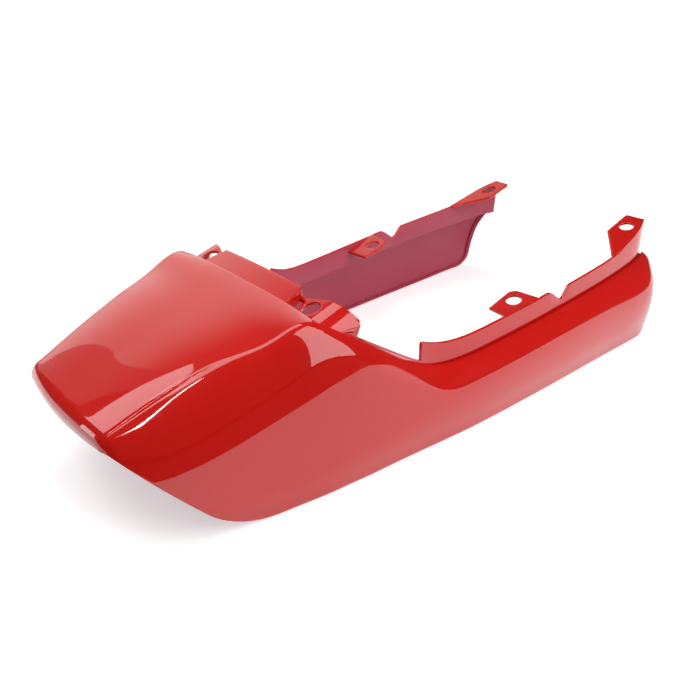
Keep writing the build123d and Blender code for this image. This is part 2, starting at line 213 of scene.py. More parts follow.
def low_height(distance, margin):
    """Height of the lower edge, or of the top of its lip."""
    line = OUTLINES[margin]
    return np.interp(distance, line[:, 0], line[:, 1])


ARM = ROWS[ROWS[:, 0] > DECK_FRONT + 1]
SEAT_D = np.concatenate([[DECK_FRONT], ARM[:, 0]])
SEAT_Z = np.concatenate([[ROWS[ROWS[:, 0] == DECK_FRONT][0, 2] - 1.0], ARM[:, 2] + EDGE_ABOVE])


def seat_height(distance):
    """Height of the edge of the seat opening."""
    return spline(SEAT_D, SEAT_Z, distance)


def where_height(distance, height, inset, low, high):
    """Place round the section, between two bounds, where the skin has a given height."""
    a = np.zeros_like(distance) + low
    b = np.zeros_like(distance) + high
    for _ in range(34):
        m = (a + b) / 2
        z = skin(distance, m, inset)[1]
        above = z > height
        a = np.where(above, m, a)
        b = np.where(above, b, m)
    return (a + b) / 2


# The bow of the tail fades out over this distance; the guess starts the search for the place on the skin
BOW_FADE = 70.0
BOW_GUESS = 3.0


def sag(y):
    """How far the bowed rear face lies ahead of the rearmost point, off the middle."""
    return TAIL_BOW - np.sqrt(TAIL_BOW ** 2 - y ** 2)


def bowed(s, t, inset):
    """Skin point at a distance s from the bowed rear face; both fade to a straight section."""
    fade = np.clip(1 - s / BOW_FADE, 0, 1)
    fade = fade * fade * (3 - 2 * fade)
    d = s + BOW_GUESS * fade
    for _ in range(12):
        y = skin(d, t, inset)[0]
        d = s + sag(y) * fade
    y, z = skin(d, t, inset)
    return d, y, z


def corner_points(rings, index, radius):
    """Three points in place of one corner of every ring: a small round."""
    before, corner, after = rings[:, index - 1], rings[:, index], rings[:, (index + 1) % rings.shape[1]]

    def toward(other):
        gap = other - corner
        size = np.linalg.norm(gap, axis=1, keepdims=True)
        share = np.minimum(radius, 0.42 * size) / np.maximum(size, 1e-9)
        return corner + gap * share

    a, b = toward(before), toward(after)
    return a, 0.25 * a + 0.5 * corner + 0.25 * b, b


def rounded(rings, corners):
    """Rings of points, each named corner replaced by a small round of its own radius."""
    columns = []
    for k in range(rings.shape[1]):
        if k in corners:
            columns.extend(corner_points(rings, k, corners[k]))
        else:
            columns.append(rings[:, k])
    return np.stack(columns, 1)


class Mesh:
    """Vertices and faces gathered from strips and grids, welded at the end."""

    def __init__(self):
        self.points = []
        self.faces = []
        self.marks = []
        self.count = 0

    def add(self, points):
        points = np.asarray(points, float).reshape(-1, 3)
        first = self.count
        self.points.append(points)
        self.count += len(points)
        return first

    def grid(self, points, mark=0, closed=False, flip=False):
        """A grid of points; mark is the material of its faces."""
        rows, columns = points.shape[:2]
        first = self.add(points)
        last = columns if closed else columns - 1
        for i in range(rows - 1):
            for j in range(last):
                k = (j + 1) % columns
                face = [first + i * columns + j, first + i * columns + k,
                        first + (i + 1) * columns + k, first + (i + 1) * columns + j]
                self.faces.append(face[::-1] if flip else face)
                self.marks.append(mark)

    def cap(self, ring, mark=0):
        """One face that closes a ring."""
        first = self.add(ring)
        self.faces.append(list(range(first, first + len(ring))))
        self.marks.append(mark)

    def mirror(self):
        """Adds the other half."""
        points = np.concatenate(self.points)
        other = points * np.array([1, -1, 1])
        offset = len(points)
        self.points = [points, other]
        self.faces += [[i + offset for i in f[::-1]] for f in self.faces]
        self.marks += self.marks
        self.count = 2 * offset

    def build(self, name, materials, weld=0.004, sharp=50):
        """Welds what meets, and makes the object."""
        points = np.concatenate(self.points)
        keys = np.round(points / weld).astype(np.int64)
        _, first, back = np.unique(keys, axis=0, return_index=True, return_inverse=True)
        back = back.reshape(-1)
        merged = points[first]
        faces, marks = [], []
        for face, mark in zip(self.faces, self.marks):
            loop = []
            for i in face:
                k = int(back[i])
                if k not in loop:
                    loop.append(k)
            if len(loop) >= 3:
                faces.append(loop)
                marks.append(mark)
        data = bpy.data.meshes.new(name)
        data.from_pydata((merged / 1000).tolist(), [], faces)
        for material in materials:
            data.materials.append(material)
        data.polygons.foreach_set("material_index", marks)
        data.validate()
        shape = bmesh.new()
        shape.from_mesh(data)
        bmesh.ops.recalc_face_normals(shape, faces=shape.faces)
        shape.to_mesh(data)
        shape.free()
        data.update()
        piece = bpy.data.objects.new(name, data)
        bpy.context.scene.collection.objects.link(piece)
        data.shade_smooth()
        data.set_sharp_from_angle(angle=math.radians(sharp))
        return piece


def stations():
    """Distances at which the section is drawn: close together where the shape turns quickly."""
    parts = [TAIL_ROLL * (1 - np.cos(np.radians(np.linspace(0, 90, 9))))]
    here = parts[0][-1]
    tail = list(parts[0])
    count = int((DECK_FRONT - here) / 2.6)
    tail += list(np.linspace(here, DECK_FRONT, count + 1)[1:])
    arm = [DECK_FRONT]
    for end, step in ((200, 1.3), (254, 2.6), (259, 0.5), (300, 2.2), (400, 2.8), (450, 1.0), (560, 2.8),
                      (588, 1.8), (600, 0.9), (603.9, 0.4)):
        count = max(1, int(round((end - arm[-1]) / step)))
        arm += list(np.linspace(arm[-1], end, count + 1)[1:])
    return np.array(tail), np.array(arm)


# Top of the seat flange's wall: distance and height; first a curve, then straight between corners
FLANGE_TOP = np.array([
    (256.0, 93.0), (272.0, 87.0), (297.0, 83.8), (322.0, 84.4), (360.0, 86.8), (401.0, 89.6)])
WALL_STEPS = np.array([
    (401.0, 89.6), (403.0, 88.8), (404.5, 90.4), (417.0, 91.2), (421.0, 89.6), (435.0, 79.6), (439.0, 79.6),
    (447.0, 89.6), (449.0, 90.6), (512.0, 94.6), (534.0, 96.6), (604.5, 117.5)])
WALL_START = 255.6
WALL_START_DROP = 2.0
WALL_START_ROUND = 2.2
WALL_CORNERS_FROM = 400.0
WALL_CORNER_BLUR = 1.6
BEAD_START = 188.0
BEAD_RISE = 1.4


def wall_top(d):
    """Top of the seat flange: a low bead, then the wall with its bump, notch and rise."""
    rear = spline(FLANGE_TOP[:, 0], FLANGE_TOP[:, 1], np.clip(d, FLANGE_TOP[0, 0], FLANGE_TOP[-1, 0]))
    offsets = np.linspace(-WALL_CORNER_BLUR, WALL_CORNER_BLUR, 9)
    front = np.mean([np.interp(d + o, WALL_STEPS[:, 0], WALL_STEPS[:, 1]) for o in offsets], axis=0)
    wall = np.where(d < WALL_CORNERS_FROM, rear, front)
    wall = wall - WALL_START_DROP * np.clip(1 - (d - WALL_START) / WALL_START_ROUND, 0, 1) ** 2
    bead = seat_height(d) + BEAD_RISE * np.clip((d - BEAD_START) / 2, 0, 1)
    return np.where(d < WALL_START, bead, wall)


def at(distance):
    """Place along the frame's X of a distance from the tail."""
    return distance - LENGTH / 2


def place(d, y, z):
    """Points of the frame from distance, half width and height."""
    return np.stack(np.broadcast_arrays(at(d), y, z), -1)


def solve_low(s, inset, margin):
    """Place round the section where the skin meets the lower outline."""
    a = np.full_like(s, 1.0)
    b = np.full_like(s, 3.0)
    for _ in range(34):
        m = (a + b) / 2
        d, y, z = bowed(s, m, inset)
        above = z > low_height(d, margin)
        a = np.where(above, m, a)
        b = np.where(above, b, m)
    return (a + b) / 2


def roll_inset(s, radius):
    """How far the rolled rear edge draws the skin in."""
    gap = np.clip(radius - s, 0, radius)
    return radius - np.sqrt(radius ** 2 - gap ** 2)


OUTSIDE, INSIDE = 0, 1
TAIL_WALL_FADE = 70.0
LIP_ROUND = 0.7
LIP_INNER_ROUND = 0.5
RIM_ROUND = 0.4
DECK_EDGE_ROUND = 0.9
DECK_STEPS = np.concatenate([
    np.linspace(0, 0.94, 32), [0.956, 0.968, 0.977, 0.984, 0.99, 0.995, 1]])
FLANK_STEPS = np.linspace(0, 1, 41) ** 1.35


def over_deck(s, inset):
    """The skin from the middle of the deck to the crease, in every section."""
    s = s[:, None] + 0 * DECK_STEPS[None, :]
    return bowed(s, DECK_STEPS[None, :] + 0 * s, inset[:, None] + 0 * s)


def down_flank(s, start, end, inset):
    """The skin between two places round the section, in every section."""
    t = start[:, None] + (end - start)[:, None] * FLANK_STEPS[None, :]
    return bowed(s[:, None] + 0 * t, t, inset[:, None] + 0 * t)


def lip_points(s):
    """Inner edge of the return lip, below and above."""
    deep = np.maximum(s, LIP_WIDTH)
    inset = np.full_like(s, LIP_WIDTH)
    edges = []
    for margin in (0.0, LIP_THICKNESS):
        d, y, _ = bowed(deep, solve_low(deep, inset, margin), inset)
        edges.append(place(d, y, low_height(d, margin)))
    return edges


def tail_shell(mesh, tail):
    """Deck and flank behind the seat, outside and inside, with the lip; gives the outer and inner skin."""
    inset_out = roll_inset(tail, TAIL_ROLL)
    one = np.ones_like(tail)
    deck_out = place(*over_deck(tail, inset_out))
    flank_out = place(*down_flank(tail, one, solve_low(tail, inset_out, 0.0), inset_out))
    s_in = np.where(tail < TAIL_WALL_FADE, WALL + tail * (1 - WALL / TAIL_WALL_FADE), tail)
    inset_in = WALL + roll_inset(s_in - WALL, TAIL_ROLL - WALL)
    d, y, z = over_deck(s_in, inset_in)
    deck_in = place(d, y, np.maximum(z, TAIL_LIP_HEIGHT + LIP_THICKNESS))
    d, y, z = down_flank(s_in, one, solve_low(s_in, inset_in, LIP_THICKNESS), inset_in)
    flank_in = place(d, y, np.maximum(z, low_height(d, LIP_THICKNESS)))
    low, high = lip_points(tail)
    ring = np.concatenate([flank_out, low[:, None], high[:, None], flank_in[:, ::-1]], 1)
    n = flank_out.shape[1]
    ring = rounded(ring, {n - 1: LIP_ROUND, n: LIP_ROUND, n + 1: LIP_INNER_ROUND})
    mesh.grid(ring[:, :n + 2], OUTSIDE)
    mesh.grid(ring[:, n + 1:], INSIDE)
    mesh.grid(deck_in[:, ::-1], INSIDE)
    outer = np.concatenate([deck_out[0], flank_out[0][1:]])
    inner = np.concatenate([deck_in[0], flank_in[0][1:]])
    rear_face(mesh, outer, inner, low[0], high[0])
    return deck_out, deck_in


def rear_face(mesh, outer, inner, lip_low, lip_high):
    """Rear end of the shell and the lip along its lower edge."""
    lip_top = TAIL_LIP_HEIGHT + LIP_THICKNESS
    bottom = outer.copy()
    bottom[:, 2] = TAIL_LIP_HEIGHT
    half = outer[-1, 1]
    deep = outer.copy()
    deep[:, 1] *= np.clip((half - LIP_WIDTH) / half, 0, 1)
    deep[:, 0] = at(LIP_WIDTH + sag(deep[:, 1]))
    deep[:, 2] = TAIL_LIP_HEIGHT
    deep[-1] = lip_low
    deep_top = deep.copy()
    deep_top[:, 2] = lip_top
    deep_top[-1] = lip_high
    under = inner.copy()
    under[:, 2] = lip_top
    strip = np.stack([outer, bottom, deep, deep_top, under, inner], 1)
    strip = rounded(strip, {1: LIP_ROUND, 2: LIP_ROUND, 3: LIP_INNER_ROUND})
    mesh.grid(strip[:, :5], OUTSIDE)
    mesh.grid(strip[:, 4:], INSIDE)


def seat_edge(arm, height, flank_out, flank_in, has):
    """Rim, groove and wall along the seat opening; behind their start, the plain edge of the skin."""
    floor = height - GROOVE_DEPTH
    under = floor - FLANGE_WALL
    half = flank_out[:, 0, 1]
    top = np.maximum(wall_top(arm), height + 0.05)
    inside = half - GROOVE_RIM - GROOVE_WIDTH
    lean = FLANGE_LEAN * (top - floor) / (FLANGE_ROOM + GROOVE_DEPTH)
    corners = [
        (inside - FLANGE_WALL, under),
        (inside - FLANGE_WALL - lean, top),
        (inside - lean, top),
        (inside, floor),
        (half - GROOVE_RIM, floor),
        (half - GROOVE_RIM, height),
    ]
    groove = np.stack([place(arm, y, z) for y, z in corners], 1)
    shares = np.array([0.1, 0.25, 0.4, 0.6, 0.75, 0.9])[None, :, None]
    plain = flank_in[:, 0][:, None] * (1 - shares) + flank_out[:, 0][:, None] * shares
    return groove * has[:, None, None] + plain * (1 - has[:, None, None])


def arm_shell(mesh, arm):
    """The arm as a ring of points in every section; gives the edge that meets the deck."""
    height = seat_height(arm)
    zero = 0 * arm
    start = where_height(arm, height, zero, 0.3, 2.0)
    flank_out = place(*down_flank(arm, start, solve_low(arm, zero, 0.0), zero))
    under = height - GROOVE_DEPTH - FLANGE_WALL
    has = np.clip((arm - BEAD_START) / 1.5, 0, 1)
    inset = np.full_like(arm, WALL)
    start_in = where_height(arm, height * (1 - has) + under * has, inset, 0.3, 3.0)
    low_in = np.maximum(solve_low(arm, inset, LIP_THICKNESS), start_in)
    flank_in = place(*down_flank(arm, start_in, low_in, inset))
    low, high = lip_points(arm)
    low[:, 2] = np.minimum(low[:, 2], height - 0.5)
    high[:, 2] = np.minimum(high[:, 2], np.maximum(under, low[:, 2]))
    groove = seat_edge(arm, height, flank_out, flank_in, has)
    ring = np.concatenate([flank_out, low[:, None], high[:, None], flank_in[:, ::-1], groove], 1)
    n = flank_out.shape[1]
    wall = 2 * n + 2
    ring = rounded(ring, {
        0: LIP_INNER_ROUND, n - 1: LIP_ROUND, n: LIP_ROUND, n + 1: LIP_INNER_ROUND,
        wall: LIP_INNER_ROUND, wall + 1: LIP_ROUND, wall + 2: LIP_ROUND,
        wall + 3: RIM_ROUND, wall + 4: RIM_ROUND, wall + 5: RIM_ROUND})
    lip = n + 3
    wall_edge = wall + 11
    mesh.grid(ring[:, :lip + 1], OUTSIDE)
    mesh.grid(ring[:, lip:wall_edge + 1], INSIDE)
    mesh.grid(np.concatenate([ring[:, wall_edge:], ring[:, :1]], 1), OUTSIDE)
    mesh.cap(ring[-1], OUTSIDE)
    return np.concatenate([[flank_out[0][0]], groove[0][::-1], [flank_in[0][0]]])


def deck_front(mesh, deck_out, deck_in, arm_edge):
    """Outer skin of the deck, its front edge, round in the middle and sharp at the corners, and its end."""
    radius = DECK_EDGE_ROUND * np.clip((1 - DECK_STEPS) * 12, 0, 1)
    zero = 0 * radius
    edge = []
    for angle in np.radians(np.linspace(0, 90, 6)):
        back, down = radius * (math.sin(angle) - 1), radius * (math.cos(angle) - 1)
        edge.append(deck_out[-1] + np.stack([back, zero, down], -1))
    deck_out[-1] = edge[0]
    mesh.grid(deck_out, OUTSIDE)
    mesh.grid(np.stack(edge + [deck_in[-1]]), OUTSIDE)
    shares = np.linspace(0, 1, len(arm_edge))[:, None]
    joint = deck_out[-1][-1] * (1 - shares) + deck_in[-1][-1] * shares
    mesh.grid(np.stack([joint, arm_edge]), OUTSIDE)


def body_mesh():
    """Half of the moulding, as surfaces that meet, and its mirror image."""
    tail, arm = stations()
    mesh = Mesh()
    deck_out, deck_in = tail_shell(mesh, tail)
    arm_edge = arm_shell(mesh, arm)
    deck_front(mesh, deck_out, deck_in, arm_edge)
    for part in (tabs, raised_panel, wing, wing_end, riser):
        part(mesh)
    mesh.mirror()
    return mesh


# Mounting tabs. The place of a tab is that of its hole: distance from the tail, half width and height. The
# other sizes run from the hole, inboard or along the slope.
TAB_TILT = math.radians(16.0)
TAB_THICKNESS = 2.6
TAB_HOLE = 14.3
MID_TAB = (387.8, 95.0, 86.7)
MID_TAB_INBOARD = 11.4
MID_TAB_AHEAD = 12.5
MID_TAB_BEHIND = 21.5
MID_TAB_ROOT = (14.5, -23.5)
MID_TAB_CORNER = 8.0
MID_TAB_RIB = (15.0, 18.5)
FRONT_TAB = (582.9, 92.0, 111.9)
FRONT_TAB_INBOARD = 12.5
FRONT_TAB_AHEAD = 20.5
FRONT_TAB_BEHIND = 16.5
FRONT_TAB_TAPER = (-53.0, 107.0)
FRONT_TAB_CORNER = 3.0
FRONT_TAB_RIB = (17.0, 13.5)
EDGE_ROUND = 0.5
RIB_THICKNESS = 2.2
RIB_REACH = 12.0
RIB_DEPTH = 9.0

# Deck flange
PANEL_REACH = 19.0
PANEL_TILT = math.radians(17.0)
PANEL_HALF = 57.0
PANEL_TAPER = 5.0
PANEL_END = 8.5
FLANGE_PLATE = 2.5
WING_STEP = 5.2
WING_HOLE = (171.9, 69.4)
WING_FLAT = 74.0
WING_END = 102.5
WING_DROP = 13.0
WING_SLOPE = math.radians(52.0)
SLOT = 6.0
SLOT_BRIDGE = 3.0
BRIDGE_HALF = (49.5, 58.4)
WING_GAP = 1.4
WING_EDGE = (176.0, 172.0, 167.0, 163.0, 160.0)
WING_END_SPAN = (170.0, 191.6)
WING_END_CUT = 0.76
RISER_END = 177.0
DECK_ROW = ROWS[ROWS[:, 0] == DECK_FRONT][0]


def wall_half(d, z):
    """Half width of the middle of the seat flange's wall at a height."""
    edge = seat_height(d)
    half = skin(d, where_height(d, edge, 0 * d, 0.3, 2.0), 0.0)[0]
    lean = FLANGE_LEAN * (z - edge + GROOVE_DEPTH) / (FLANGE_ROOM + GROOVE_DEPTH)
    return half - GROOVE_RIM - GROOVE_WIDTH - FLANGE_WALL / 2 - lean


def dense(points, step):
    """A closed outline with extra points between its corners."""
    out = []
    for a, b in zip(points, points[1:] + points[:1]):
        a, b = np.array(a, float), np.array(b, float)
        count = max(1, int(np.ceil(np.linalg.norm(b - a) / step)))
        out.extend(a + (b - a) * k / count for k in range(count))
    return np.array(out)


def corner_arc(before, corner, after, radius, count=9):
    """Points of a round in place of a corner."""
    before, corner, after = [np.array(p, float) for p in (before, corner, after)]
    a = (before - corner) / np.linalg.norm(before - corner)
    b = (after - corner) / np.linalg.norm(after - corner)
    angle = math.acos(np.clip(np.dot(a, b), -1, 1))
    reach = radius / math.tan(angle / 2)
    hub = corner + (a + b) / np.linalg.norm(a + b) * radius / math.sin(angle / 2)
    start, end = corner + a * reach - hub, corner + b * reach - hub
    swing = math.acos(np.clip(np.dot(start, end) / radius ** 2, -1, 1))
    out = []
    for k in range(count):
        f = k / (count - 1)
        spoke = (math.sin((1 - f) * swing) * start + math.sin(f * swing) * end) / math.sin(swing)
        out.append(tuple(hub + spoke))
    return out


def holed_plate(mesh, outline, hole, radius, thickness, surface, rings=7):
    """A plate between a round hole and an outline seen from above; surface lifts it into place."""
    outline = dense(outline, 2.0)
    spokes = outline - hole
    reach = np.linalg.norm(spokes, axis=1)
    unit = spokes / reach[:, None]
    e = EDGE_ROUND
    loop = [(radius, -thickness + e), (radius, -e), (radius + 0.3 * e, -0.3 * e), (radius + e, 0.0)]
    inner = len(loop)
    for share in np.linspace(0, 1, rings)[1:-1]:
        loop.append((share, 0.0))
    outer_part = [(-e, 0.0), (-0.3 * e, -0.3 * e), (0.0, -e), (0.0, -thickness + e),
                  (-0.3 * e, -thickness + 0.3 * e), (-e, -thickness)]
    under = [(share, -thickness) for share in np.linspace(1, 0, rings)[1:-1]]
    back = [(radius + e, -thickness), (radius + 0.3 * e, -thickness + 0.3 * e)]
    grid = []
    for i in range(len(unit)):
        full = reach[i]
        path = []
        for r, z in loop[:inner]:
            path.append((r, z))
        for share, z in loop[inner:]:
            path.append((radius + e + (full - radius - 2 * e) * share, z))
        path += [(full + r, z) for r, z in outer_part]
        path += [(radius + e + (full - radius - 2 * e) * share, z) for share, z in under]
        path += back
        flat = np.array([hole + unit[i] * r for r, _ in path])
        depth = np.array([z for _, z in path])
        grid.append(surface(flat[:, 0], flat[:, 1], depth))
    grid.append(grid[0])
    mesh.grid(np.array(grid), OUTSIDE, closed=True)


def tab_surface(place_of_hole):
    """Lifts points of a tab's own plane: along the slope, half width, depth below its top."""
    d0, _, z0 = place_of_hole

    def surface(u, v, depth):
        d = d0 + u * math.cos(TAB_TILT) - depth * math.sin(TAB_TILT)
        z = z0 + u * math.sin(TAB_TILT) + depth * math.cos(TAB_TILT)
        return place(d, v, z)

    return surface


def root_line(place_of_hole, start, end, count=12):
    """Outer edge of a tab, in the middle of the wall's thickness."""
    u = np.linspace(start, end, count)
    d = place_of_hole[0] + u * math.cos(TAB_TILT)
    z = place_of_hole[2] + u * math.sin(TAB_TILT)
    return list(zip(u, wall_half(d, z)))


def prism(mesh, side, across):
    """A straight-sided block from one flat side and the way across it."""
    side = np.asarray(side, float)
    other = side + np.asarray(across, float)
    n = len(side)
    first = mesh.add(np.concatenate([side, other]))
    mesh.faces.append([first + k for k in range(n)][::-1])
    mesh.faces.append([first + n + k for k in range(n)])
    for k in range(n):
        m = (k + 1) % n
        mesh.faces.append([first + k, first + m, first + n + m, first + n + k])
    mesh.marks.extend([OUTSIDE] * (n + 2))


def tab_rib(mesh, hole, back, root):
    """Three-cornered rib under a tab."""
    surface = tab_surface(hole)
    outer = hole[1] + root
    inner = outer - RIB_REACH
    u = np.full(4, -back)
    v = np.array([outer, inner, inner, outer])
    depth = np.array([-TAB_THICKNESS / 2, -TAB_THICKNESS / 2, -TAB_THICKNESS, -TAB_THICKNESS - RIB_DEPTH])
    side = surface(u, v, depth)
    across = np.array([math.cos(TAB_TILT), 0, math.sin(TAB_TILT)]) * RIB_THICKNESS
    prism(mesh, side, across)


def tabs(mesh):
    """The tab halfway along the arm and the one at its nose, with the ribs under them."""
    radius = TAB_HOLE / 2
    inner = MID_TAB[1] - MID_TAB_INBOARD
    back = (-MID_TAB_BEHIND, inner)
    root = root_line(MID_TAB, *MID_TAB_ROOT)
    corner = corner_arc(back, (MID_TAB_AHEAD, inner), root[0], MID_TAB_CORNER)
    outline = [back] + corner + root
    hole = np.array([0.0, MID_TAB[1]])
    holed_plate(mesh, outline, hole, radius, TAB_THICKNESS, tab_surface(MID_TAB))
    rib_back, rib_root = MID_TAB_RIB
    tab_rib(mesh, MID_TAB, rib_back, min(rib_root, root[-3][1] - MID_TAB[1]))
    inner = FRONT_TAB[1] - FRONT_TAB_INBOARD
    back = (-FRONT_TAB_BEHIND, inner)
    root = root_line(FRONT_TAB, FRONT_TAB_AHEAD, FRONT_TAB_TAPER[0], 24)
    corner = corner_arc(back, (FRONT_TAB_AHEAD, inner), root[0], FRONT_TAB_CORNER)
    outline = [FRONT_TAB_TAPER, back] + corner + root
    hole = np.array([0.0, FRONT_TAB[1]])
    holed_plate(mesh, outline, hole, radius, TAB_THICKNESS, tab_surface(FRONT_TAB))
    tab_rib(mesh, FRONT_TAB, *FRONT_TAB_RIB)


def wing_height(d):
    """Height of the wing's flat top."""
    return DECK_ROW[2] - WING_STEP + (d - DECK_FRONT) * math.tan(PANEL_TILT)


def wing_profile():
    """How far the wing has rolled down at each half width."""
    end = np.array([WING_END + 6, -WING_DROP - 6 * math.tan(WING_SLOPE)])
    bend = end + 14 * np.array([-math.cos(WING_SLOPE), math.sin(WING_SLOPE)])
    t = np.linspace(0, 1, 80)
    curve = bezier(np.array([WING_FLAT, 0.0]), np.array([WING_FLAT + 12, 0.0]), bend, end, t)
    return curve[:, 0], curve[:, 1]


WING_Y, WING_Z = wing_profile()


def wing_surface(d, y, depth):
    """Point of the wing below its rolled top."""
    drop = np.interp(y, WING_Y, WING_Z)
    slope = np.arctan(-(np.interp(y + 0.3, WING_Y, WING_Z) - np.interp(y - 0.3, WING_Y, WING_Z)) / 0.6)
    return place(d, y + depth * np.sin(slope), wing_height(d) + drop + depth * np.cos(slope))


def seat_edge_half(d):
    """Half width of the edge of the seat opening."""
    edge = seat_height(d)
    return skin(d, where_height(d, edge, 0 * d, 0.3, 2.0), 0.0)[0]


def wing(mesh):
    """Lower side piece of the deck flange with its hole; the slot lies between it and the panel."""
    back = DECK_FRONT - 1.2
    front = DECK_FRONT + PANEL_REACH
    bridge = front - SLOT_BRIDGE
    edge = [(d, float(seat_edge_half(np.array([d]))[0]) - WING_GAP) for d in WING_EDGE]
    outline = [
        (back, PANEL_HALF + SLOT),
        (bridge, PANEL_HALF + SLOT - PANEL_TAPER),
        (front, PANEL_HALF + SLOT - PANEL_TAPER),
        (WING_HOLE[0] + 11.0, WING_HOLE[1]),
        (187.6, 84.5),
        (192.5, WING_END - 2.5),
        (190.0, WING_END),
    ] + edge + [(back, DECK_ROW[1] - 1.6)]
    holed_plate(mesh, outline, np.array(WING_HOLE), TAB_HOLE / 2, FLANGE_PLATE, wing_surface, rings=12)
    near, far = BRIDGE_HALF
    for corners in (
        [(bridge, near), (front, near), (front, far), (bridge, far)],
        [(back, near), (bridge, near), (bridge, PANEL_HALF - PANEL_TAPER), (back, PANEL_HALF)],
    ):
        corners = np.array(corners)
        low = wing_surface(corners[:, 0], corners[:, 1], np.full(4, -FLANGE_PLATE))
        prism(mesh, low, (0, 0, FLANGE_PLATE))


def wing_end(mesh):
    """The outer end of the wing, turned down to the edge of the skin, its front cut back."""
    start, end = WING_END_SPAN
    top_d = np.linspace(start, end, 16)
    low_d = start + (top_d - start) * WING_END_CUT
    top_y = np.minimum(seat_edge_half(top_d) - 1.5, WING_END - 0.6)
    top_z = wing_height(top_d) + np.interp(top_y, WING_Y, WING_Z) - 0.15
    low_y = seat_edge_half(low_d) - 1.5
    low_z = np.minimum(seat_height(low_d) - 1.5, top_z - 0.4)
    rings = np.stack([
        place(top_d - 0.8, top_y - 2.2, top_z - 0.8), place(top_d - 0.3, top_y - 0.6, top_z),
        place(top_d, top_y, top_z - 0.3),
        place((top_d + low_d) / 2, (top_y + low_y) / 2 + 0.4, (top_z + low_z) / 2),
        place(low_d, low_y, low_z), place(low_d - 0.4, low_y - 2.2, low_z)], 1)
    mesh.grid(rings, OUTSIDE, closed=True)
    mesh.cap(rings[0], OUTSIDE)
    mesh.cap(rings[-1], OUTSIDE)


def raised_panel(mesh):
    """Middle of the deck flange: crowned, with a short upright end and a rounded front edge."""
    reaches = np.concatenate([np.linspace(-WALL, PANEL_REACH - 0.6, 9), [PANEL_REACH - 0.2, PANEL_REACH]])
    e = EDGE_ROUND
    tops, lows = [], []
    for k, reach in enumerate(reaches):
        half = PANEL_HALF - PANEL_TAPER * reach / PANEL_REACH
        height = wing_height(DECK_FRONT + reach) + PANEL_END - 1.0
        crown = DECK_ROW[5] * (half / DECK_ROW[1]) ** 2
        tuck = {len(reaches) - 2: 0.12, len(reaches) - 1: e}.get(k, 0.0)
        share = np.linspace(0, 1, 22)
        y = half * share
        z = height + crown * (1 - share ** 2)
        bend = 1.2
        keep = y < half - bend
        angle = np.radians(np.linspace(90, 0, 6))
        y = np.concatenate([y[keep], half - bend + bend * np.cos(angle), np.full(5, half)])
        z = np.concatenate([z[keep], height - bend + bend * np.sin(angle) + 0.05,
                            np.linspace(height - bend - 1, height - PANEL_END, 5)])
        slope_y, slope_z = np.gradient(y), np.gradient(z)
        size = np.hypot(slope_y, slope_z)
        normal = np.stack([-slope_z, slope_y], 1) / size[:, None]
        normal[0] = (0, 1)
        outer = np.stack([y, z], 1) - tuck * normal
        inner = np.stack([y, z], 1) - (FLANGE_PLATE - tuck) * normal
        d = DECK_FRONT + reach
        tops.append(place(d, outer[:, 0], outer[:, 1]))
        lows.append(place(d, np.maximum(inner[:, 0], 0), inner[:, 1]))
    path = np.stack(tops + lows[::-1], 1)
    mesh.grid(path, OUTSIDE)
    mesh.cap(path[-1], OUTSIDE)


def riser(mesh):
    """Short upright step from the edge of the deck down to its flange."""
    x = np.full(40, DECK_FRONT)
    y, z = skin(x, np.linspace(0, 1, 40), 0.0)
    d = np.linspace(DECK_FRONT, RISER_END, 26)[1:]
    corner = seat_edge_half(d)
    x = np.concatenate([x, d])
    z = np.concatenate([z, seat_height(d)])
    y = np.concatenate([y, corner])
    top = z - np.where(x <= DECK_FRONT, 1.5, 0.6)
    floor = wing_height(x) + np.interp(y, WING_Y, WING_Z) - FLANGE_PLATE / 2
    floor = np.minimum(floor, top - 0.3)
    shift = np.where(x <= DECK_FRONT, 0.05, 0.25)
    ring = np.stack([
        place(x - 0.02, y - shift, top), place(x - 0.02, y - shift, floor),
        place(x - FLANGE_PLATE, y - shift, floor), place(x - FLANGE_PLATE, y - shift, top)], 1)
    mesh.grid(ring, OUTSIDE, closed=True, flip=True)
    mesh.cap(ring[-1], OUTSIDE)


def paint(name, colour, roughness, coat, bump):
    """Red paint with a fine orange-peel surface and slight change of gloss."""
    material = bpy.data.materials.new(name)
    material.use_nodes = True
    nodes, links = material.node_tree.nodes, material.node_tree.links
    shader = nodes["Principled BSDF"]
    shader.inputs["Base Color"].default_value = (*colour, 1)
    shader.inputs["Specular IOR Level"].default_value = 0.5 - 0.46 * coat
    shader.inputs["Coat Weight"].default_value = coat
    shader.inputs["Coat Roughness"].default_value = 0.03
    shader.inputs["Coat IOR"].default_value = 1.6
    place_node = nodes.new("ShaderNodeTexCoord")
    noise = nodes.new("ShaderNodeTexNoise")
    noise.inputs["Scale"].default_value = 900
    noise.inputs["Detail"].default_value = 2
    bumps = nodes.new("ShaderNodeBump")
    bumps.inputs["Strength"].default_value = bump
    bumps.inputs["Distance"].default_value = 0.0001
    links.new(place_node.outputs["Object"], noise.inputs["Vector"])
    links.new(noise.outputs["Fac"], bumps.inputs["Height"])
    links.new(bumps.outputs["Normal"], shader.inputs["Normal"])
    cloud = nodes.new("ShaderNodeTexNoise")
    cloud.inputs["Scale"].default_value = 35
    cloud.inputs["Detail"].default_value = 4
    spread = nodes.new("ShaderNodeMapRange")
    spread.inputs["To Min"].default_value = roughness * 0.85
    spread.inputs["To Max"].default_value = roughness * 1.15
    links.new(place_node.outputs["Object"], cloud.inputs["Vector"])
    links.new(cloud.outputs["Fac"], spread.inputs["Value"])
    links.new(spread.outputs["Result"], shader.inputs["Roughness"])
    return material


# The outside is gloss paint under a clear coat; the inside has only thin, dull overspray
gloss = paint("red gloss paint", (0.60, 0.008, 0.0045), 0.3, 1.0, 0.04)
satin = paint("red satin inside", (0.48, 0.053, 0.10), 0.45, 0.0, 0.15)

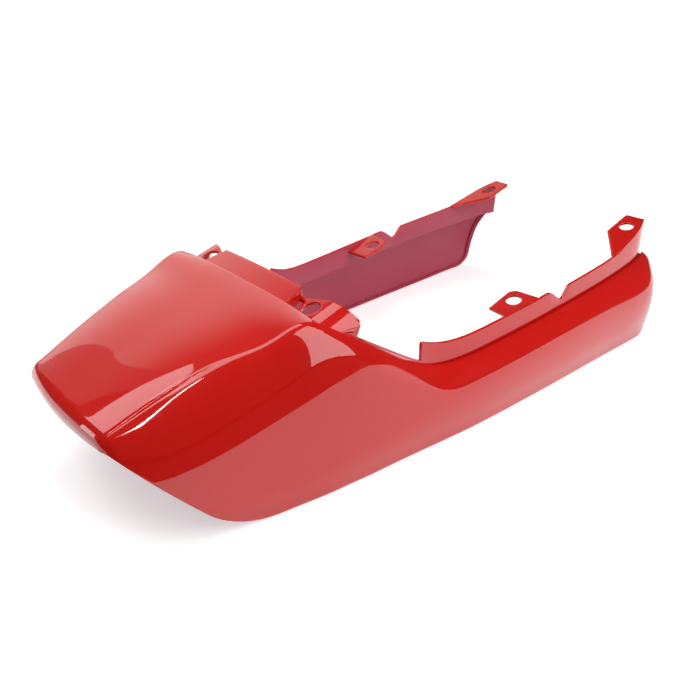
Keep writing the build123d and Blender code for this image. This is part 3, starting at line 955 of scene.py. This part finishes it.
body = body_mesh().build("fairing_body", [gloss, satin])
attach(body, "root")
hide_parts("tail_fairing")


def camera():
    """Camera at the place from which the object is seen in the picture."""
    data = bpy.data.cameras.new("camera")
    piece = bpy.data.objects.new("camera", data)
    bpy.context.scene.collection.objects.link(piece)
    data.lens = 36
    data.sensor_width = 36
    data.clip_end = 60
    right = np.array([0.7505, -0.6608, 0.0])
    forward = np.array([0.5775, 0.6561, -0.4857])
    right /= np.linalg.norm(right)
    forward /= np.linalg.norm(forward)
    up = np.cross(right, forward)
    piece.matrix_world = Matrix((
        (right[0], up[0], -forward[0], -0.41465),
        (right[1], up[1], -forward[1], -0.4353),
        (right[2], up[2], -forward[2], 0.3593),
        (0, 0, 0, 1)))
    bpy.context.scene.camera = piece


# Stage, in metres: the white sheet by a point and the direction of its near edge, and the far backdrop,
# with its dimmer end, by places on the ground and heights
SHEET_HEIGHT = -0.0005
SHEET_EDGE = np.array([-0.2, -0.33])
SHEET_ALONG = np.array([0.83, -0.55])
SHEET_HALF = 14.0
SHEET_DEPTH = 16.0
SHEET_GLOW = (0.5, 1.0)
SHEET_GLOW_REACH = (0.5, 1.6)
BACKDROP_FAR = np.array([2.1, 1.9])
BACKDROP_NEAR = np.array([-0.5, 2.6])
BACKDROP_END = np.array([-0.95, 2.65])
BACKDROP_HEIGHT = (0.42, 4.2)
BACKDROP_FADE = (0.9, 3.4)
BACKDROP_GLOW = 1.2
END_GLOW = 0.34
TOP_GLOW = 0.12


def flat_piece(name, corners, material):
    """A flat four-sided stage piece."""
    data = bpy.data.meshes.new(name)
    data.from_pydata(corners, [], [(0, 1, 2, 3)])
    data.materials.append(material)
    piece = bpy.data.objects.new(name, data)
    bpy.context.scene.collection.objects.link(piece)
    return piece


def white_to_camera(nodes, links, strength):
    """Pure white where the camera looks straight at it; reflections keep the real brightness."""
    path = nodes.new("ShaderNodeLightPath")
    links.new(path.outputs["Is Camera Ray"], strength)


def floor_material(name, grey):
    """Matt floor; gives the material with its nodes, links and shader."""
    material = bpy.data.materials.new(name)
    material.use_nodes = True
    nodes, links = material.node_tree.nodes, material.node_tree.links
    shader = nodes["Principled BSDF"]
    shader.inputs["Base Color"].default_value = (grey, grey, grey, 1)
    shader.inputs["Roughness"].default_value = 0.95
    shader.inputs["Specular IOR Level"].default_value = 0.0
    return material, nodes, links, shader


def larger(nodes, links, first, second):
    """The larger of two values."""
    node = nodes.new("ShaderNodeMath")
    node.operation = "MAXIMUM"
    links.new(first, node.inputs[0])
    links.new(second, node.inputs[1])
    return node.outputs[0]


def sheet_material():
    """White sheet; its glow makes it white in the picture and in the paint, and adds no light."""
    material, nodes, links, shader = floor_material("floor white", 0.82)
    where = nodes.new("ShaderNodeTexCoord")
    away = nodes.new("ShaderNodeVectorMath")
    away.operation = "LENGTH"
    fade = nodes.new("ShaderNodeMapRange")
    fade.inputs["From Min"].default_value, fade.inputs["From Max"].default_value = SHEET_GLOW_REACH
    fade.inputs["To Min"].default_value, fade.inputs["To Max"].default_value = SHEET_GLOW
    links.new(where.outputs["Object"], away.inputs[0])
    links.new(away.outputs["Value"], fade.inputs["Value"])
    path = nodes.new("ShaderNodeLightPath")
    seen = larger(nodes, links, path.outputs["Is Camera Ray"], path.outputs["Is Glossy Ray"])
    seen = larger(nodes, links, seen, path.outputs["Is Transmission Ray"])
    level = nodes.new("ShaderNodeMath")
    level.operation = "MULTIPLY"
    links.new(seen, level.inputs[0])
    links.new(fade.outputs["Result"], level.inputs[1])
    shader.inputs["Emission Color"].default_value = (0.97, 0.985, 1.0, 1)
    links.new(level.outputs[0], shader.inputs["Emission Strength"])
    return material


def studio_floor_material():
    """Dark floor beyond the sheet, white where the camera looks straight at it."""
    material, nodes, links, shader = floor_material("floor grey", 0.05)
    shader.inputs["Emission Color"].default_value = (1, 1, 1, 1)
    white_to_camera(nodes, links, shader.inputs["Emission Strength"])
    return material


def backdrop_material(name, glow):
    """Far backdrop with a painted glow in place of light from below: bright near the floor and fading
    upward.
    """
    material = bpy.data.materials.new(name)
    material.use_nodes = True
    nodes, links = material.node_tree.nodes, material.node_tree.links
    shader = nodes["Principled BSDF"]
    shader.inputs["Base Color"].default_value = (0.3, 0.3, 0.3, 1)
    shader.inputs["Roughness"].default_value = 0.95
    shader.inputs["Emission Color"].default_value = (1.0, 0.97, 0.93, 1)
    # Painted light: the emission, strongest low down and dimming with height, stands in for lamps below the
    # backdrop
    where = nodes.new("ShaderNodeTexCoord")
    parts = nodes.new("ShaderNodeSeparateXYZ")
    fade = nodes.new("ShaderNodeMapRange")
    fade.interpolation_type = "SMOOTHSTEP"
    fade.inputs["From Min"].default_value, fade.inputs["From Max"].default_value = BACKDROP_FADE
    fade.inputs["To Min"].default_value = glow
    fade.inputs["To Max"].default_value = TOP_GLOW
    links.new(where.outputs["Object"], parts.inputs[0])
    links.new(parts.outputs["Z"], fade.inputs["Value"])
    level = nodes.new("ShaderNodeMath")
    level.operation = "MAXIMUM"
    links.new(fade.outputs["Result"], level.inputs[0])
    white_to_camera(nodes, links, level.inputs[1])
    links.new(level.outputs[0], shader.inputs["Emission Strength"])
    return material


def stage():
    """White sheet under the fairing, its near edge just outside the picture, on a dark studio floor."""
    along = SHEET_ALONG / np.linalg.norm(SHEET_ALONG)
    ahead = np.array([-along[1], along[0]])
    a = SHEET_EDGE - along * SHEET_HALF
    b = SHEET_EDGE + along * SHEET_HALF
    c = b + ahead * SHEET_DEPTH
    d = a + ahead * SHEET_DEPTH
    z = SHEET_HEIGHT
    flat_piece("floor", [(*p, z) for p in (a, b, c, d)], sheet_material())
    c, d = b - ahead * SHEET_HALF, a - ahead * SHEET_HALF
    flat_piece("studio_floor", [(*p, z) for p in (b, a, d, c)], studio_floor_material())
    low, high = BACKDROP_HEIGHT
    for name, a, b, glow in (
        ("backdrop", BACKDROP_NEAR, BACKDROP_FAR, BACKDROP_GLOW),
        ("backdrop_end", BACKDROP_END, BACKDROP_NEAR, END_GLOW),
    ):
        corners = [(*a, low), (*b, low), (*b, high), (*a, high)]
        flat_piece(name, corners, backdrop_material(name, glow))


def surroundings():
    """Dim even light from all round, white where the camera looks straight at it."""
    world = bpy.data.worlds.new("studio")
    bpy.context.scene.world = world
    world.use_nodes = True
    nodes, links = world.node_tree.nodes, world.node_tree.links
    back = nodes["Background"]
    back.inputs["Color"].default_value = (1, 1, 1, 1)
    spread = nodes.new("ShaderNodeMapRange")
    spread.inputs["To Min"].default_value = 0.06
    spread.inputs["To Max"].default_value = 1.0
    white_to_camera(nodes, links, spread.inputs["Value"])
    links.new(spread.outputs["Result"], back.inputs["Strength"])


def lamp(name, location, target, size, glow, roll):
    """A softbox of even brightness facing its target, turned by roll about its own axis."""
    data = bpy.data.lights.new(name, "AREA")
    data.shape = "RECTANGLE"
    data.size, data.size_y = size
    data.energy = glow * math.pi * size[0] * size[1]
    piece = bpy.data.objects.new(name, data)
    bpy.context.scene.collection.objects.link(piece)
    piece.location = location
    facing = (Vector(target) - Vector(location)).to_track_quat("-Z", "Y")
    piece.rotation_euler = (facing @ Quaternion((0, 0, 1), math.radians(roll))).to_euler()
    return piece


def softbox(name, target, azimuth, elevation, distance, size, glow, roll=0):
    """A softbox seen from its target in a given direction."""
    az, el = math.radians(azimuth), math.radians(elevation)
    way = (math.cos(el) * math.cos(az), math.cos(el) * math.sin(az), math.sin(el))
    location = [t + distance * w for t, w in zip(target, way)]
    return lamp(name, location, target, size, glow, roll)


camera()
stage()
surroundings()
# The main one lights the near flank, the rear one shows at the corner of the tail's rolled edge, the next
# two in the deck, and the strip draws the shoulder's streak
softbox("main softbox", (-0.14, -0.1, 0.12), -70, 38, 1.6, (1.0, 2.5), 3.4)
softbox("rear softbox", (-0.3, -0.06, 0.09), 141, 8, 1.6, (0.3, 0.5), 4.0)
softbox("tail softbox", (-0.27, -0.055, 0.105), 120, 52, 1.6, (0.8, 0.68), 3.2, -54.7)
softbox("overhead softbox", (-0.25, -0.03, 0.1), 90, 76, 1.9, (1.2, 0.75), 2.9)
softbox("strip light", (-0.26, -0.072, 0.104), -142.5, 60.5, 1.6, (1.0, 0.045), 22.0, -70)
fill = softbox("overhead fill", (-0.3, 0.0, 0.1), 80, 76, 2.2, (2.0, 2.0), 0.5)
fill.visible_glossy = False
bpy.context.scene.view_settings.view_transform = "Standard"
